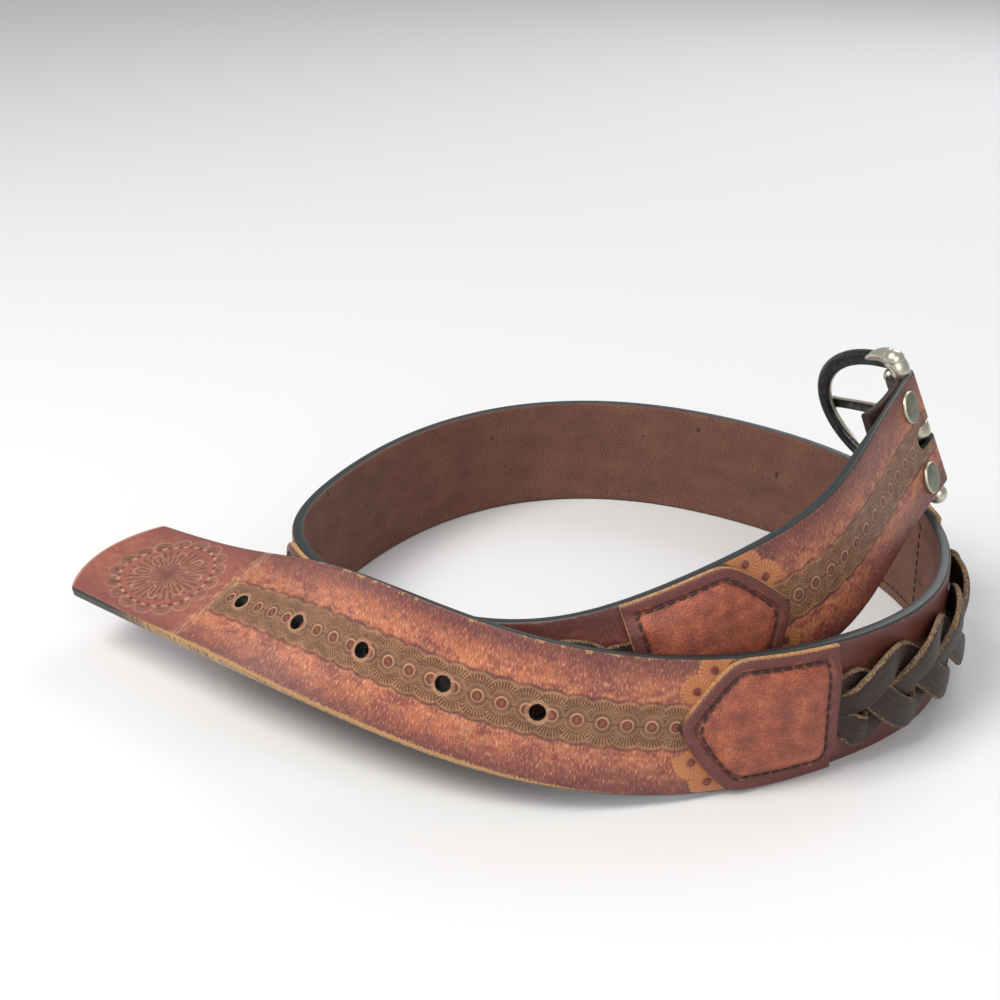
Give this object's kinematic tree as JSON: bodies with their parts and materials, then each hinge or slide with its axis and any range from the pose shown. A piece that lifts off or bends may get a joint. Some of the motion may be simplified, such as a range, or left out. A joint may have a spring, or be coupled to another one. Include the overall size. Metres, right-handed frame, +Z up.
{
  "type": "western tooled belt",
  "caption": "Tooled leather strap lying in a loop, with sewn point patches over braided thongs, punched holes, and a horseshoe buckle held in a snapped fold.",
  "frame": {"origin": "on the ground, below the middle of the bounding box of the lying belt", "axes": "+X from the tip towards the braided side of the loop, +Y away from the front strand, +Z up, across the strap's width where it stands on its edge"},
  "size_m": [0.2712, 0.2016, 0.0892],
  "materials": {
    "strap_leather": "antiqued, semi gloss",
    "patch_leather": "antiqued, semi matt",
    "thong_leather": "smooth face, suede edges",
    "snap_metal": "antique brushed",
    "buckle_metal": "antique dark plated",
    "tongue_metal": "antique dark plated"
  },
  "bodies": {
    "belt": {"strap": "strap_leather", "patch_front_near": "patch_leather", "patch_front_far": "patch_leather", "patch_buckle_end_near": "patch_leather", "patch_buckle_end_far": "patch_leather", "thong_front_1": "thong_leather", "thong_front_2": "thong_leather", "thong_front_3": "thong_leather", "thong_buckle_end_1": "thong_leather", "thong_buckle_end_2": "thong_leather", "thong_buckle_end_3": "thong_leather", "snap_lower": "snap_metal", "snap_upper": "snap_metal"},
    "buckle": {"buckle_frame": "buckle_metal"},
    "tongue": {"buckle_tongue": "tongue_metal"}
  },
  "joints": [
    {"name": "buckle_swing", "type": "hinge", "parent": "belt", "child": "buckle", "pos_m": [0.1209, 0.0073, 0.06379], "axis": [0.3683, -0.0359, -0.929], "range_deg": [0, 82]},
    {"name": "tongue_swing", "type": "hinge", "parent": "buckle", "child": "tongue", "pos_m": [0.1209, 0.0073, 0.06379], "axis": [0.3683, -0.0359, -0.929], "range_deg": [0, 102]}
  ]
}
